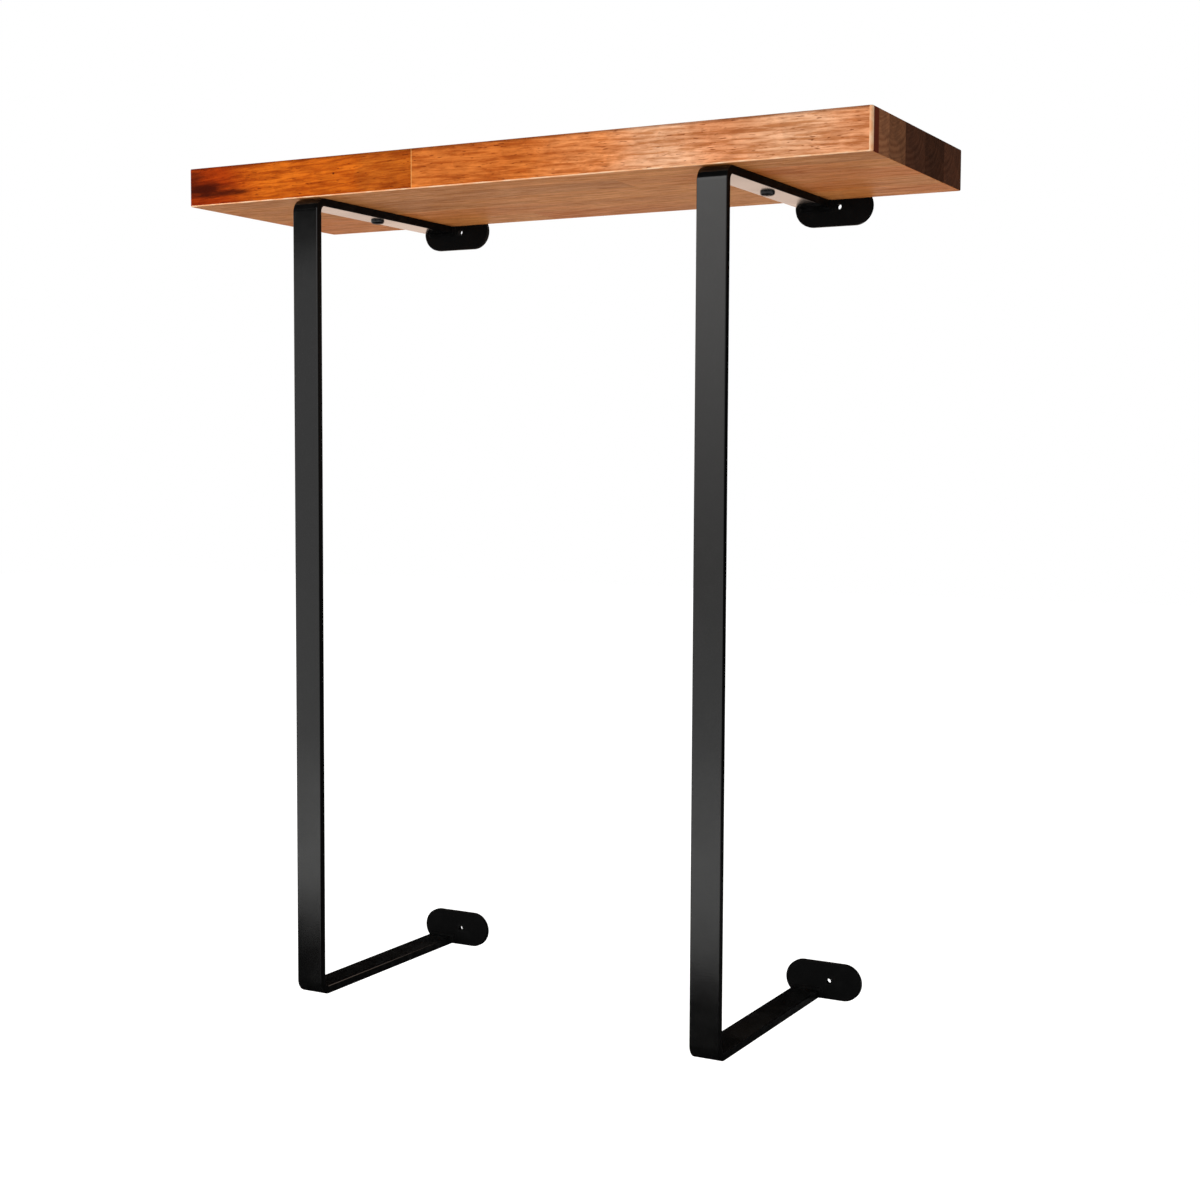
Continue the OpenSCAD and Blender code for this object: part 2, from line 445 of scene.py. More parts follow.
def wood_shader(name, low, high, looks, colours, contrast, rings):
    """Oiled long grain between two corners. Returns its material, tree, shader, place and colour."""
    material, tree, shader, place = new_material(name)
    heart = Vector(looks["heart"])
    lean = math.radians(looks["lean"])
    start = -((low + high) / 2 + heart)
    inputs = {"Vector": place, "Location": start, "Rotation": (0, lean, 0.7 * lean)}
    centred = add(tree, "ShaderNodeMapping", inputs).outputs[0]
    grain = group(tree, grain_group(), centred, **{"Rings per metre": rings})
    along = add(tree, "ShaderNodeSeparateXYZ", {0: place}).outputs["X"]
    wander = calc(tree, "MULTIPLY", calc(tree, "SUBTRACT", grain["Cloud"], 0.5), 0.05)
    share = calc(tree, "ADD", spread_line(tree, along, low.x, high.x), wander)
    shade = tone_ramp(tree, share, looks["tones"], colours)
    for mask, strength, tint in (
        ("Rings", 0.55, GRAIN_TINT),
        ("Cloud", 0.5, CLOUD_TINT),
        ("Fibre", 0.95, GRAIN_TINT),
        ("Pores", 0.8, PORE_TINT),
        ("Figure", 0.5, FIGURE_TINT),
    ):
        shade = tinted(tree, shade, grain[mask], strength * contrast, tint)
    tree.links.new(spread(tree, grain["Fibre"], 0, 1, 0.42, 0.54), shader["Roughness"])
    relief = calc(tree, "SUBTRACT", calc(tree, "MULTIPLY", grain["Fibre"], -0.4), grain["Pores"])
    tree.links.new(bump(tree, relief, 0.0001, 0.6), shader["Normal"])
    shader["Specular IOR Level"].default_value = FACE_SPECULAR
    return material, tree, shader, place, shade


def face_material(row, side, colours):
    """Top and underside of one stave, in calm brown tones."""
    low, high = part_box(f"stave_{row}_{side}")
    material, tree, shader, _, shade = wood_shader(
        f"Oiled face, {row} {side}", low, high, FACES[row, side], colours, 0.8, 60.0
    )
    tree.links.new(shade, shader["Base Color"])
    return material


def front_material(side, colours):
    """The board's front edge: strong tones, knots, a pale glue line and a darker upper arris."""
    low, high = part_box(f"stave_front_{side}")
    material, tree, shader, place, shade = wood_shader(
        f"Oiled front edge, {side}", low, high, FRONT_EDGE[side], colours, 1.15, 150.0
    )
    if side == "left":
        shade = knots(tree, place, low, high, shade, colours)
    along = add(tree, "ShaderNodeSeparateXYZ", {0: place}).outputs
    seam = low.x if side == "right" else high.x
    off = calc(tree, "ABSOLUTE", calc(tree, "SUBTRACT", along["X"], seam))
    shade = blend(tree, spread(tree, off, 0.0008, 0.0003, 0, 0.4), shade, with_alpha(colours.glue))
    top = spread(tree, along["Z"], high.z - 0.0035, high.z - 0.001, 0, 0.75)
    shade = blend(tree, top, shade, ARRIS_TINT, "MULTIPLY")
    tree.links.new(shade, shader["Base Color"])
    return material


def painted_highlight_material(colours):
    """Painted highlight: pale wood colour along the lower front arris and the right front corner, where
    light catches the rounded edges.
    """
    material, tree, shader, place = new_material("Rubbed edge")
    patchy = noise(tree, stretched(tree, place, (60, 200, 60)), detail=3)
    dark = with_alpha(colours.honey)
    mixed = blend(tree, spread(tree, patchy, 0.35, 0.65, 0, 0.8), with_alpha(colours.painted_highlight), dark)
    tree.links.new(mixed, shader["Base Color"])
    tree.links.new(spread(tree, patchy, 0, 1, 0.4, 0.55), shader["Roughness"])
    tree.links.new(bump(tree, patchy, 0.0001, 0.4), shader["Normal"])
    shader["Specular IOR Level"].default_value = PAINTED_HIGHLIGHT_SPECULAR
    return material


def knots(tree, place, low, high, base, colours):
    """The dark swirl near the board's left end and a pin knot near the left bracket."""
    length, depth, height = high - low
    reach_y = 0.03  # how far a knot runs into the board
    shade = base
    for x, y, z, reach_x, reach_z, strength in (
        (0.07, 0, 0.42, 0.05, 0.011, 1.0),
        (0.17, 0, 0.3, 0.045, 0.006, 0.9),
        (0.02, 0, 0.75, 0.02, 0.01, 0.7),
        (0.665, 0, 0.55, 0.0022, 0.0018, 0.9),
    ):
        centre = low + Vector((length * x, depth * y, height * z))
        inputs = {
            "Vector": place,
            "Location": [-c / r for c, r in zip(centre, (reach_x, reach_y, reach_z))],
            "Scale": (1 / reach_x, 1 / reach_y, 1 / reach_z),
        }
        local = add(tree, "ShaderNodeMapping", inputs).outputs[0]
        away = add(tree, "ShaderNodeVectorMath", {0: local}, operation="LENGTH").outputs["Value"]
        ragged = calc(tree, "ADD", away, noise(tree, stretched(tree, place, (45, 220, 220)), 4, 0.6))
        mask = calc(tree, "MULTIPLY", spread(tree, ragged, 1.5, 0.7), strength)
        shade = blend(tree, mask, shade, with_alpha(colours.knot))
    return shade


# Tone of each row's end grain and how light it is beside that tone
END_TONES = {
    "front": ("end_light", 1.0),
    "second": ("end_light", 0.72),
    "middle": ("end_dark", 1.1),
    "fourth": ("end_dark", 0.8),
    "rear": ("end_dark", 1.25),
}


def end_material(row, colours):
    """Oiled end grain of one row, with a red-black strip where the front face turns the corner."""
    low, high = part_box(f"stave_{row}_right")
    middle = (low + high) / 2
    material, tree, shader, place = new_material(f"End grain, {row}")
    lift = Vector((0, 0.01 * ROWS.index(row), -0.03))
    centred = add(tree, "ShaderNodeMapping", {"Vector": place, "Location": lift - middle}).outputs[0]
    grain = group(tree, end_group(), centred)
    tone, light = END_TONES[row]
    tone = [light * c for c in getattr(colours, tone)]
    darker = [0.6 * c for c in tone]
    cloud = calc(tree, "MULTIPLY", grain["Cloud"], 0.7)
    shade = blend(tree, cloud, with_alpha(tone), with_alpha(darker))
    shade = tinted(tree, shade, grain["Arcs"], 0.7, ARC_TINT)
    shade = tinted(tree, shade, grain["Pores"], 0.5, END_PORE_TINT)
    if row == "front":
        depth = add(tree, "ShaderNodeSeparateXYZ", {0: place}).outputs["Y"]
        strip = spread(tree, depth, low.y + 0.0165, low.y + 0.0145)
        shade = blend(tree, strip, shade, with_alpha(colours.end_bark))
    tree.links.new(shade, shader["Base Color"])
    tree.links.new(spread(tree, grain["Cloud"], 0, 1, 0.5, 0.62), shader["Roughness"])
    tree.links.new(bump(tree, grain["Pores"], 0.0001, -0.5), shader["Normal"])
    shader["Specular IOR Level"].default_value = END_SPECULAR
    return material


def metal_material(name, tone, grit, rough, spec):
    """Black coat with orange peel and slightly brighter edges, partly wear and partly a painted sheen.
    """
    material, tree, shader, place = new_material(name)
    coat = group(tree, coat_group(), place, Grit=grit)
    # Lighter colour along edges: partly wear, partly a painted sheen
    lighter = tuple(min(1.0, 3.0 * c) for c in tone)
    shade = blend(tree, coat["Wear"], with_alpha(tone), with_alpha(lighter))
    tree.links.new(shade, shader["Base Color"])
    tree.links.new(spread(tree, coat["Cloud"], 0, 1, rough - 0.03, rough + 0.04), shader["Roughness"])
    tree.links.new(bump(tree, coat["Peel"], 0.00006, 0.35), shader["Normal"])
    shader["Specular IOR Level"].default_value = spec
    return material


def coat_material(context, matt=False):
    """The powder coat, made once: smooth on the bars' flats, and a shaded copy on their edges, plates
    and welds, whose low specular level is painted shade.
    """
    name = "Black powder coat, matt" if matt else "Black powder coat"
    if name in bpy.data.materials:
        return bpy.data.materials[name]
    # The shaded copy's low specular level paints shade onto the parts that take it
    rough, spec = SHADED_COAT if matt else SMOOTH_COAT
    return metal_material(name, context.scene.shelf_colours.coat, 650.0, rough, spec)


# Modelling helpers


def finish_piece(bm, name, node_name, materials):
    """Turns a bmesh into a shown piece that stands for its node and rides with the shelf."""
    bmesh.ops.remove_doubles(bm, verts=bm.verts, dist=1e-6)
    bmesh.ops.dissolve_degenerate(bm, edges=bm.edges, dist=1e-6)
    bmesh.ops.recalc_face_normals(bm, faces=bm.faces)
    if any(not edge.is_manifold for edge in bm.edges):
        raise RuntimeError(f"{name} isn't closed")
    mesh = bpy.data.meshes.new(name)
    bm.to_mesh(mesh)
    bm.free()
    for material in materials:
        mesh.materials.append(material)
    mesh.shade_smooth()
    mesh.set_sharp_from_angle(angle=SHARP)
    piece = bpy.data.objects.new(name, mesh)
    bpy.context.scene.collection.objects.link(piece)
    weighted = piece.modifiers.new("Weighted normals", "WEIGHTED_NORMAL")
    weighted.keep_sharp = True
    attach(piece, "root")
    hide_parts(node_name)
    return piece


def box_matrix(low, high):
    """Turns a unit cube into the box between two corners."""
    return Matrix.Translation((low + high) / 2) @ Matrix.Diagonal((*(high - low), 1))


def round_edges(bm, edges, radius, segments=3):
    """Eases edges with a round of the given radius."""
    return bmesh.ops.bevel(
        bm, geom=edges, affect="EDGES", offset=radius, segments=segments, profile=0.5, material=-1,
        clamp_overlap=True
    )


def push(bm, face, offset):
    """Extrudes a face by an offset and returns its new end. A lone face stays as the start's cap."""
    inner = [] if any(e.is_boundary for e in face.edges) else [face]
    made = bmesh.ops.extrude_face_region(bm, geom=[face])["geom"]
    bmesh.ops.translate(bm, verts=[v for v in made if isinstance(v, bmesh.types.BMVert)], vec=offset)
    bmesh.ops.delete(bm, geom=inner, context="FACES_ONLY")
    return next(f for f in made if isinstance(f, bmesh.types.BMFace))


def turn(bm, face, centre, axis, angle, steps):
    """Sweeps a face round an axis and returns its new end."""
    geom = [face, *face.verts, *face.edges]
    made = bmesh.ops.spin(
        bm, geom=geom, cent=centre, axis=axis, angle=angle, steps=steps, use_merge=False
    )["geom_last"]
    return next(f for f in made if isinstance(f, bmesh.types.BMFace))


def drill(bm, centre, axis, radius, depth=None):
    """Drills a round hole along an axis: through the piece, or as deep as given from its lower face.
    Returns the edges of its rims."""
    across = [i for i in range(3) if i != axis]

    def seats():
        """Flat faces that the hole starts in or comes out of."""
        found = []
        for f in bm.faces:
            spans = [sorted(v.co[i] for v in f.verts) for i in range(3)]
            over = all(spans[i][0] < centre[i] < spans[i][-1] for i in across)
            if over and abs(f.normal[axis]) > 0.99 and abs(spans[axis][0] - centre[axis]) < HOLE_REACH:
                found.append(f)
        found.sort(key=lambda f: f.calc_center_median()[axis])
        return found if depth is None else found[:1]

    cell = 1.7 * radius
    for i in across:
        for side in (-cell, cell):
            bm.normal_update()
            geom = {g for f in seats() for g in (f, *f.edges, *f.verts)}
            point, normal = Vector(centre), Vector((0, 0, 0))
            point[i] += side
            normal[i] = 1
            bmesh.ops.bisect_plane(bm, geom=list(geom), plane_co=point, plane_no=normal)
    bm.normal_update()
    ends = seats()
    rims = []
    for seat in ends:
        bmesh.ops.subdivide_edges(bm, edges=seat.edges[:], cuts=7)
        bmesh.ops.inset_region(bm, faces=[seat], thickness=0.2 * radius)
        step = 2 * math.pi / len(seat.verts)
        for v in seat.verts:
            off = [v.co[i] - centre[i] for i in across]
            angle = step * round(math.atan2(off[1], off[0]) / step)
            v.co[across[0]] = centre[across[0]] + radius * math.cos(angle)
            v.co[across[1]] = centre[across[1]] + radius * math.sin(angle)
        rims.extend(seat.edges)
    if depth is None:
        bmesh.ops.delete(bm, geom=ends, context="FACES_ONLY")
        bmesh.ops.bridge_loops(bm, edges=rims)
    else:
        offset = Vector((0, 0, 0))
        offset[axis] = depth
        push(bm, ends[0], offset)
    return rims


# The board


def board_box():
    """Lowest and highest corner of the whole board."""
    boxes = [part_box(f"stave_{row}_{side}") for row in ROWS for side in SIDES]
    low = Vector(min(b[0][i] for b in boxes) for i in range(3))
    high = Vector(max(b[1][i] for b in boxes) for i in range(3))
    return low, high


def is_wall(face, low, high, near):
    """Whether a face is part of the board's outside wall."""
    middle = face.calc_center_median()
    gap = min(middle.x - low.x, high.x - middle.x, middle.y - low.y, high.y - middle.y)
    return abs(face.normal.z) < 0.5 and gap < near


def surface_index(face, low, high, sizes):
    """Which finish a face of the board takes: 0 face, 1 end grain, 2 front edge, 3 painted edge
    highlight.
    """
    n, middle = face.normal, face.calc_center_median()
    if not is_wall(face, low, high, sizes.corner) and abs(n.z) < 0.1:
        return 0
    front = middle.y - low.y < sizes.corner
    # The lower front arris and the right front corner take the painted highlight
    if front and n.y < -0.2 and n.z < -0.2:
        return 3
    if front and n.y < -0.1 and n.x > 0.1:
        return 3
    if abs(n.x) > 0.7:
        return 1
    return 2 if front and n.y < -0.3 else 0


def stave_mesh(row, side, sizes):
    """One stave, with the board's rounded corners and eased arrises where it has them."""
    low, high = board_box()
    node_name = f"stave_{row}_{side}"
    own_low, own_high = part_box(node_name)
    bm = bmesh.new()
    bmesh.ops.create_cube(bm, size=1, matrix=box_matrix(own_low, own_high))
    corners = [
        e for e in bm.edges
        if abs(e.verts[0].co.z - e.verts[1].co.z) > TOUCH
        and min(e.verts[0].co.x - low.x, high.x - e.verts[0].co.x) < TOUCH
        and min(e.verts[0].co.y - low.y, high.y - e.verts[0].co.y) < TOUCH
    ]
    if corners:
        round_edges(bm, corners, sizes.corner, segments=6)
    bm.normal_update()
    arrises = [
        e for e in bm.edges
        if len(e.link_faces) == 2
        and sum(is_wall(f, low, high, sizes.corner) for f in e.link_faces) == 1
        and sum(abs(f.normal.z) > 0.9 for f in e.link_faces) == 1
    ]
    if arrises:
        round_edges(bm, arrises, sizes.arris)
    if row == "middle":
        screw_low, screw_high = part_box(f"shelf_screw_{side}")
        centre = (screw_low + screw_high) / 2
        depth = screw_high.z - own_low.z + sizes.pilot_play
        drill(bm, centre, 2, (sizes.shank + sizes.pilot_play) / 2, depth)
    bm.normal_update()
    for face in bm.faces:
        face.material_index = surface_index(face, low, high, sizes)
    return bm


# The brackets


def bar_facts(side):
    """Box, thickness and inside bend radius of a bracket's flat bar, measured on its node."""
    name = f"bracket_bar_{side}"
    low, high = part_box(name)
    points = [v.co for v in frame["nodes"][name].data.vertices]
    under = min(p.z for p in points if p.y > high.y - TOUCH and p.z > (low.z + high.z) / 2)
    thick = high.z - under
    bend = min(p.y for p in points if abs(p.z - under) < TOUCH) - low.y - thick
    return low, high, thick, bend


def bar_mesh(side, sizes):
    """One flat bar, swept from the wall along its upper arm, down its upright and back to the wall."""
    low, high, thick, bend = bar_facts(side)
    middle_x = (low.x + high.x) / 2
    outer = thick + bend
    bm = bmesh.new()
    bmesh.ops.create_grid(
        bm, x_segments=1, y_segments=1, size=0.5, matrix=Matrix.Diagonal((high.x - low.x, thick, 1, 1))
    )
    bmesh.ops.bevel(
        bm, geom=bm.verts[:], affect="VERTICES", offset=sizes.bar_edge, segments=3, profile=0.5,
        material=-1
    )
    start = Matrix.Translation((middle_x, high.y, high.z - thick / 2))
    bmesh.ops.transform(bm, matrix=start @ Matrix.Rotation(math.pi / 2, 4, "X"), verts=bm.verts)
    face = next(iter(bm.faces))
    arm = high.y - low.y - outer
    face = push(bm, face, (0, -arm, 0))
    face = turn(bm, face, (middle_x, low.y + outer, high.z - outer), (1, 0, 0), math.pi / 2, BEND_STEPS)
    face = push(bm, face, (0, 0, low.z - high.z + 2 * outer))
    face = turn(bm, face, (middle_x, low.y + outer, low.z + outer), (1, 0, 0), math.pi / 2, BEND_STEPS)
    push(bm, face, (0, arm, 0))
    screw_low, screw_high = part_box(f"shelf_screw_{side}")
    drill(bm, (screw_low + screw_high) / 2, 2, (sizes.shank + sizes.bar_play) / 2)
    return bm


def weld_mesh(side, level, sizes):
    """One rippled bead round three sides of an arm's end."""
    low, high, thick, _ = bar_facts(side)
    own_low, own_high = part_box(f"weld_{level}_{side}")
    leg = own_high.y - own_low.y
    up = 1 if level == "upper" else -1
    start_z = own_high.z if up > 0 else own_low.z
    root_z = start_z - up * thick
    plate = own_high.y
    bm = bmesh.new()
    profile = [Vector((low.x, plate, start_z))]
    steps = 5
    for i in range(steps + 1):
        angle = math.pi / 2 * i / steps
        reach = leg / (math.cos(angle) + math.sin(angle)) ** 0.75
        across, out = reach * math.cos(angle), reach * math.sin(angle)
        profile.append(Vector((low.x - across, plate - out, start_z)))
    face = bm.faces.new([bm.verts.new(p) for p in profile])
    ring = sizes.bead_pitch / 4
    down = math.ceil(thick / ring)
    for _ in range(down):
        face = push(bm, face, (0, 0, -up * thick / down))
    face = turn(bm, face, (low.x, plate, root_z), (0, 1, 0), -up * math.pi / 2, BEAD_STEPS)
    along = math.ceil((high.x - low.x) / ring)
    for _ in range(along):
        face = push(bm, face, ((high.x - low.x) / along, 0, 0))
    face = turn(bm, face, (high.x, plate, root_z), (0, 1, 0), -up * math.pi / 2, BEAD_STEPS)
    for _ in range(down):
        face = push(bm, face, (0, 0, up * thick / down))
    bmesh.ops.remove_doubles(bm, verts=bm.verts, dist=1e-6)
    bmesh.ops.recalc_face_normals(bm, faces=bm.faces)
    bm.normal_update()
    for v in bm.verts:
        off_plate = plate - v.co.y
        off_arm = max(low.x - v.co.x, v.co.x - high.x, up * (root_z - v.co.z))
        if min(off_plate, off_arm) > 0.1 * leg:
            lag = 0.5 * (off_plate - off_arm)
            wave = math.cos(2 * math.pi * (v.co.x + v.co.z + lag) / sizes.bead_pitch)
            v.co += v.normal * sizes.bead_ripple * wave
    return bm


def plate_mesh(side, level, sizes):
    """One wall plate with round ends, an eased rim and its screw hole."""
    low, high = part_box(f"wall_plate_{level}_{side}")
    width, thick, height = high - low
    bm = bmesh.new()
    count = 64
    half_step = Matrix.Rotation(math.pi / count, 4, "Z")
    bmesh.ops.create_circle(bm, cap_ends=True, segments=count, radius=height / 2, matrix=half_step)
    for v in bm.verts:
        v.co.x += math.copysign((width - height) / 2, v.co.x)
    stand = Matrix.Translation(((low.x + high.x) / 2, high.y, (low.z + high.z) / 2))
    bmesh.ops.transform(bm, matrix=stand @ Matrix.Rotation(math.pi / 2, 4, "X"), verts=bm.verts)
    push(bm, next(iter(bm.faces)), (0, -thick, 0))
    bmesh.ops.recalc_face_normals(bm, faces=bm.faces)
    rim = [e for e in bm.edges if abs(e.verts[0].co.y - e.verts[1].co.y) < TOUCH]
    round_edges(bm, rim, sizes.plate_edge)
    holes = next(m for m in frame["record"]["mounts"] if m["name"] == "wall_screws")["dims"]
    x = math.copysign(holes["spacing_x_mm"] / 2000, low.x + high.x)
    z = math.copysign(holes["spacing_y_mm"] / 2000, low.z + high.z)
    rims = drill(bm, Vector((x, high.y, z)), 1, holes["hole_r_mm"] / 1000)
    round_edges(bm, rims, sizes.hole_edge, segments=2)
    return bm


# The shelf screws


def screw_mesh(side, sizes):
    """One screw from below: pan head with a cross recess, and a threaded shank with a point."""
    low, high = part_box(f"shelf_screw_{side}")
    arm = bar_facts(side)
    head_z = arm[1].z - arm[2]
    head_r = (high.x - low.x) / 2
    head_h = head_z - low.z
    x, y = (low.x + high.x) / 2, (low.y + high.y) / 2
    bm = bmesh.new()
    flat_r = 0.5 * head_r
    bmesh.ops.create_grid(
        bm, x_segments=3, y_segments=3, size=flat_r,
        matrix=Matrix.Translation((x, y, low.z)) @ Matrix.Rotation(math.pi, 4, "X")
    )
    slot = 0.16 * head_r
    for v in bm.verts:
        for i, centre in ((0, x), (1, y)):
            off = v.co[i] - centre
            if abs(off) < 0.5 * flat_r:
                v.co[i] = centre + math.copysign(slot / 2, off)
    rim = [e for e in bm.edges if e.is_boundary]
    bmesh.ops.subdivide_edges(bm, edges=rim, cuts=3)
    rim_verts = [v for v in bm.verts if v.is_boundary]
    rim_verts.sort(key=lambda v: math.atan2(v.co.y - y, v.co.x - x))
    for v in rim_verts:
        out = Vector((v.co.x - x, v.co.y - y)).normalized() * flat_r
        v.co.x, v.co.y = x + out.x, y + out.y
    cross = [
        f for f in bm.faces
        if min(abs(f.calc_center_median().x - x), abs(f.calc_center_median().y - y)) < 0.4 * slot
    ]
    made = bmesh.ops.extrude_face_region(bm, geom=cross)["geom"]
    bmesh.ops.delete(bm, geom=cross, context="FACES")
    sunk = [v for v in made if isinstance(v, bmesh.types.BMVert)]
    bmesh.ops.translate(bm, verts=sunk, vec=(0, 0, 0.5 * head_h))
    taper = 0.72  # width of the recess at its bottom, beside its width at the top
    narrow = Matrix.Diagonal((taper, taper, 1, 1)) @ Matrix.Translation((-x, -y, 0))
    bmesh.ops.transform(bm, matrix=Matrix.Translation((x, y, 0)) @ narrow, verts=sunk)
    steps = 7
    dome_h = 0.72 * head_h
    dome = [
        (flat_r + (head_r - flat_r) * math.sin(math.pi / 2 * i / steps),
         low.z + dome_h * (1 - math.cos(math.pi / 2 * i / steps)))
        for i in range(1, steps + 1)
    ]
    root_r = 0.78 * sizes.shank / 2
    shank = [(sizes.shank / 2, head_z), (root_r, head_z + 0.001)]
    tip_z = high.z - sizes.shank
    turns = int((tip_z - head_z - 0.012) / sizes.thread_pitch)
    for i in range(turns):
        z = tip_z - (turns - i) * sizes.thread_pitch
        crest_z, foot_z = z + 0.5 * sizes.thread_pitch, z + 0.8 * sizes.thread_pitch
        shank += [(root_r, z), (sizes.shank / 2, crest_z), (root_r, foot_z)]
    shank += [(root_r, tip_z), (0.0, high.z)]
    edges = [e for e in bm.edges if e.is_boundary]
    for radius, z in [*dome, (head_r, head_z), *shank]:
        made = bmesh.ops.extrude_edge_only(bm, edges=edges)["geom"]
        edges = [g for g in made if isinstance(g, bmesh.types.BMEdge)]
        for v in {v for e in edges for v in e.verts}:
            out = Vector((v.co.x - x, v.co.y - y)).normalized() * radius
            v.co = Vector((x + out.x, y + out.y, z))
    return bm


# The stage


def aim(obj, target):
    """Turns a lamp or camera towards a point."""
    obj.rotation_mode = "QUATERNION"
    obj.rotation_quaternion = (target - obj.location).to_track_quat("-Z", "Y")


def make_camera(stage):
    """Camera to the right, well under the board's underside and a little above its own aim."""
    data = bpy.data.cameras.new("Camera")
    data.lens = stage.lens
    camera = bpy.data.objects.new("Camera", data)
    bpy.context.scene.collection.objects.link(camera)
    target = Vector(stage.aim)
    a, e = stage.azimuth, stage.elevation
    back = Vector((math.sin(a) * math.cos(e), -math.cos(a) * math.cos(e), math.sin(e)))
    camera.location = target + stage.reach * back
    aim(camera, target)
    roll = Matrix.Rotation(stage.roll, 3, "Z").to_quaternion()
    camera.rotation_quaternion = camera.rotation_quaternion @ roll
    bpy.context.scene.camera = camera


def area_light(name, place, target, width, height, power):
    """A large soft lamp."""
    data = bpy.data.lights.new(name, "AREA")
    data.shape = "RECTANGLE"
    data.size, data.size_y = width, height
    data.energy = power
    lamp = bpy.data.objects.new(name, data)
    bpy.context.scene.collection.objects.link(lamp)
    lamp.location = place
    aim(lamp, Vector(target))
    return lamp


def seen_ray(tree):
    """1 for rays that come from the camera, a gloss or a glass, and 0 for the rest."""
    ray = tree.nodes.new("ShaderNodeLightPath").outputs
    both = calc(tree, "MAXIMUM", ray["Is Camera Ray"], ray["Is Glossy Ray"])
    return calc(tree, "MAXIMUM", both, ray["Is Transmission Ray"])


def make_world(stage):
    """White surroundings that light the shelf evenly."""
    world = bpy.data.worlds.new("Studio")
    world.use_nodes = True
    tree = world.node_tree
    tree.nodes.clear()
    even = add(tree, "ShaderNodeBackground", {"Strength": stage.world})
    white = add(tree, "ShaderNodeBackground", {"Strength": 1.0})
    for background in (even, white):
        background.inputs["Color"].default_value = (1, 1, 1, 1)
    shaders = {0: seen_ray(tree), 1: even.outputs[0], 2: white.outputs[0]}
    mixed = add(tree, "ShaderNodeMixShader", shaders)
    output = tree.nodes.new("ShaderNodeOutputWorld")
    tree.links.new(mixed.outputs[0], output.inputs["Surface"])
    bpy.context.scene.world = world


def floor_material(colours):
    """Pale floor that reads as white and keeps a soft shadow."""
    material, tree, surface = empty_material("Studio floor")
    place = tree.nodes.new("ShaderNodeTexCoord").outputs["Object"]
    cloud = noise(tree, place, detail=3, scale=2)
    tone = with_alpha(colours.floor)
    paint = blend(tree, spread(tree, cloud, 0.3, 0.7, 0, 0.04), tone, (0.8, 0.8, 0.8, 1))
    diffuse = add(tree, "ShaderNodeBsdfDiffuse", {"Color": paint})
    glow = add(tree, "ShaderNodeEmission", {"Strength": calc(tree, "MULTIPLY", seen_ray(tree), 0.6)})
    both = add(tree, "ShaderNodeAddShader", {0: diffuse.outputs[0], 1: glow.outputs[0]})
    tree.links.new(both.outputs[0], surface)
    return material


def make_sheet(name, low, high, material):
    """A flat stage panel between two corners; one of its three sizes is nought."""
    bm = bmesh.new()
    thin = min(range(3), key=lambda i: high[i] - low[i])
    bmesh.ops.create_grid(bm, x_segments=1, y_segments=1, size=0.5)
    if thin < 2:
        upright = Matrix.Rotation(math.pi / 2, 3, "YX"[thin])
        bmesh.ops.rotate(bm, verts=bm.verts, cent=(0, 0, 0), matrix=upright)
    bmesh.ops.transform(bm, matrix=box_matrix(Vector(low), Vector(high)), verts=bm.verts)
    mesh = bpy.data.meshes.new(name)
    bm.to_mesh(mesh)
    bm.free()
    mesh.materials.append(material)
    sheet = bpy.data.objects.new(name, mesh)
    bpy.context.scene.collection.objects.link(sheet)
    return sheet


def card_material(name, tone, shine=None):
    """Paint for a card: plain, or glowing with a strength that climbs between two heights."""
    material, tree, surface = empty_material(name)
    if shine is None:
        paint = add(tree, "ShaderNodeBsdfDiffuse", {"Color": tone})
    else:
        place = tree.nodes.new("ShaderNodeTexCoord").outputs["Object"]
        height = add(tree, "ShaderNodeSeparateXYZ", {0: place}).outputs["Z"]
        strength = spread(tree, height, *shine)
        paint = add(tree, "ShaderNodeEmission", {"Color": tone, "Strength": strength})
    tree.links.new(paint.outputs[0], surface)
    return material


def make_cards():
    """Cards that only reflections see: five black ones, a warm one behind and a bright one in front."""
    black = card_material("Black card", (0.003, 0.003, 0.003, 1))
    warm = card_material("Warm card", (1.0, 0.76, 0.62, 1), (0.1, 0.5, 1.4, 1.5))
    bright = card_material("Bright card", (1.0, 0.98, 0.96, 1), (-0.2, 1.1, 1.0, 3.0))
    floor = cad_box[0].z - 0.15  # just above the studio floor
    cards = {
        "card_right": ((0.05, 0.8, floor), (2.6, 0.8, 1.3), black),
        "card_rear": ((-1.8, 0.6, floor), (0.1, 0.6, 0.1), black),
        "card_low": ((-2.2, -1.05, floor), (1.2, 0.55, floor), black),
        "card_high": ((-2.5, -2.0, 1.5), (2.5, 0.7, 1.5), black),
        "card_warm": ((-1.8, 0.59, 0.1), (0.2, 0.59, 0.6), warm),
        "card_left": ((-2.6, -2.2, 0.64), (-1.35, -2.2, 1.6), black),
        "card_front": ((-1.25, -2.2, -0.2), (0.0, -2.2, 1.6), bright),
    }
    for name, (start, end, material) in cards.items():
        card = make_sheet(name, start, end, material)
        for ray in ("camera", "diffuse", "shadow", "transmission", "volume_scatter"):
            setattr(card, f"visible_{ray}", False)


def make_stage(stage, colours):
    """Camera, floor, even light, two lamps and the cards."""
    make_camera(stage)
    make_world(stage)
    low, high = cad_box
    floor_z = low.z - stage.floor_gap
    make_sheet("studio_floor", (-9, -9, floor_z), (9, 9, floor_z), floor_material(colours))
    centre = (low + high) / 2
    key = area_light("Key", (-1.6, -2.6, 0.75), (centre.x, centre.y, 0.25), 1.4, 0.7, stage.key)
    fill = area_light("Fill", (0.2, -2.4, -0.35), (centre.x, centre.y, 0.35), 1.6, 0.5, stage.fill)
    for lamp in (key, fill):
        lamp.visible_glossy = False
    make_cards()
    bpy.context.scene.view_settings.view_transform = "Standard"


# Operators


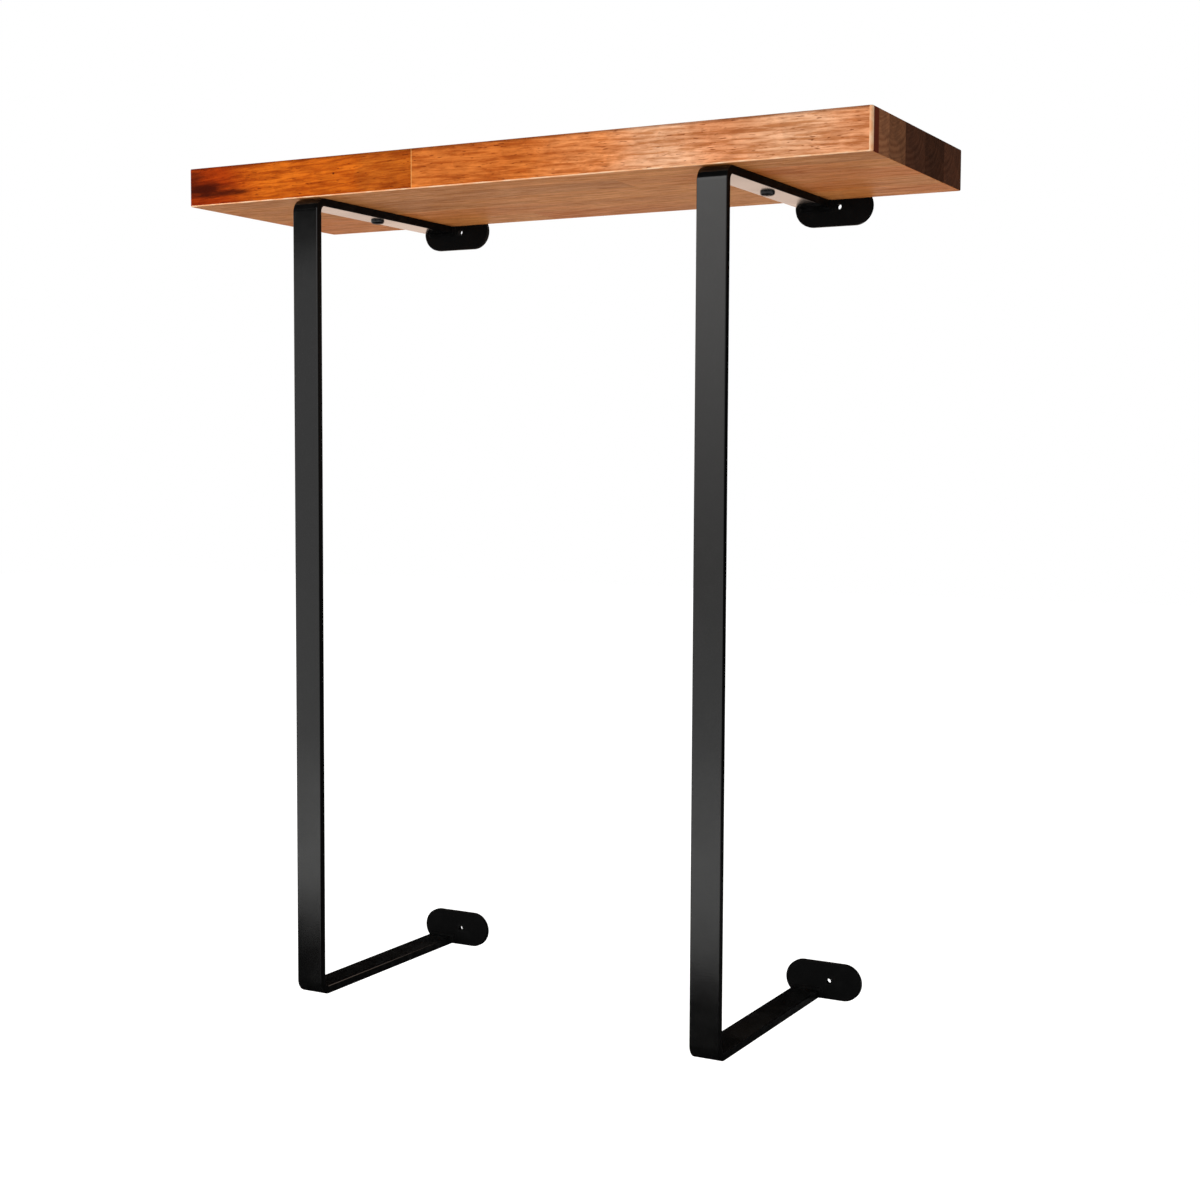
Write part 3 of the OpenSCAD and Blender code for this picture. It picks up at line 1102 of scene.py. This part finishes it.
def make_coated(context, kind, make_mesh):
    """Makes the four plates or the four welds in the shaded copy of the coat, which is painted shade.
    """
    sizes, coat = context.scene.shelf_sizes, coat_material(context, matt=True)
    for level in LEVELS:
        for side in SIDES:
            node_name = f"{kind}_{level}_{side}"
            bm = make_mesh(side, level, sizes)
            finish_piece(bm, f"coated_{node_name}", node_name, [coat])


class StavesOperator(bpy.types.Operator):
    """Make the ten oiled staves of the board"""

    bl_idname = "shelf.make_staves"
    bl_label = "Staves"

    def execute(self, context):
        sizes, colours = context.scene.shelf_sizes, context.scene.shelf_colours
        painted_highlight = painted_highlight_material(colours)
        for row in ROWS:
            ends = end_material(row, colours)
            for side in SIDES:
                node_name = f"stave_{row}_{side}"
                finishes = [face_material(row, side, colours), ends]
                if row == "front":
                    # The front staves also take the painted edge highlight
                    finishes += [front_material(side, colours), painted_highlight]
                bm = stave_mesh(row, side, sizes)
                finish_piece(bm, f"oiled_{node_name}", node_name, finishes)
        return {"FINISHED"}


class BracketsOperator(bpy.types.Operator):
    """Make the two bent flat bars"""

    bl_idname = "shelf.make_brackets"
    bl_label = "Bracket bars"

    def execute(self, context):
        sizes = context.scene.shelf_sizes
        coats = [coat_material(context), coat_material(context, matt=True)]
        for side in SIDES:
            node_name = f"bracket_bar_{side}"
            bm = bar_mesh(side, sizes)
            for face in bm.faces:
                # The bars' edge faces take the shaded copy of the coat: painted shade
                face.material_index = 1 if abs(face.normal.x) > 0.9 else 0
            finish_piece(bm, f"coated_{node_name}", node_name, coats)
        return {"FINISHED"}


class PlatesOperator(bpy.types.Operator):
    """Make the four wall plates"""

    bl_idname = "shelf.make_plates"
    bl_label = "Wall plates"

    def execute(self, context):
        make_coated(context, "wall_plate", plate_mesh)
        return {"FINISHED"}


class WeldsOperator(bpy.types.Operator):
    """Make the four weld beads"""

    bl_idname = "shelf.make_welds"
    bl_label = "Welds"

    def execute(self, context):
        make_coated(context, "weld", weld_mesh)
        return {"FINISHED"}


class ScrewsOperator(bpy.types.Operator):
    """Make the two shelf screws"""

    bl_idname = "shelf.make_screws"
    bl_label = "Shelf screws"

    def execute(self, context):
        sizes, colours = context.scene.shelf_sizes, context.scene.shelf_colours
        finish = metal_material("Blackened screw", colours.screw, 900.0, 0.36, 0.5)
        for side in SIDES:
            node_name = f"shelf_screw_{side}"
            bm = screw_mesh(side, sizes)
            finish_piece(bm, f"blackened_{node_name}", node_name, [finish])
        return {"FINISHED"}


class StageOperator(bpy.types.Operator):
    """Set up the camera, the lights and the pale floor"""

    bl_idname = "shelf.make_stage"
    bl_label = "Stage"

    def execute(self, context):
        make_stage(context.scene.shelf_stage, context.scene.shelf_colours)
        return {"FINISHED"}


class ShelfPanel(bpy.types.Panel):
    """Lists the sizes, the colours and one button for each group of pieces"""

    bl_idname = "VIEW3D_PT_wall_shelf"
    bl_label = "Wall shelf"
    bl_space_type = "VIEW_3D"
    bl_region_type = "UI"
    bl_category = "Shelf"

    def draw(self, context):
        for name in ("shelf_sizes", "shelf_colours", "shelf_stage"):
            settings = getattr(context.scene, name)
            for prop in settings.bl_rna.properties:
                if prop.identifier not in ("rna_type", "name"):
                    self.layout.prop(settings, prop.identifier)
        for operator in OPERATORS:
            self.layout.operator(operator.bl_idname)


GROUPS = {"shelf_sizes": ShelfSizes, "shelf_colours": ShelfColours, "shelf_stage": ShelfStage}
OPERATORS = (
    StageOperator, StavesOperator, BracketsOperator, PlatesOperator, WeldsOperator, ScrewsOperator
)


def register():
    """Adds the classes and the properties."""
    for item in (*GROUPS.values(), *OPERATORS, ShelfPanel):
        bpy.utils.register_class(item)
    for name, item in GROUPS.items():
        setattr(bpy.types.Scene, name, PointerProperty(type=item))


def unregister():
    """Takes the classes and the properties away again."""
    for name in GROUPS:
        delattr(bpy.types.Scene, name)
    for item in (ShelfPanel, *reversed(OPERATORS), *reversed(tuple(GROUPS.values()))):
        bpy.utils.unregister_class(item)


def main():
    """Makes everything."""
    register()
    bpy.ops.shelf.make_stage()
    bpy.ops.shelf.make_staves()
    bpy.ops.shelf.make_brackets()
    bpy.ops.shelf.make_plates()
    bpy.ops.shelf.make_welds()
    bpy.ops.shelf.make_screws()


if __name__ == "__main__":
    main()
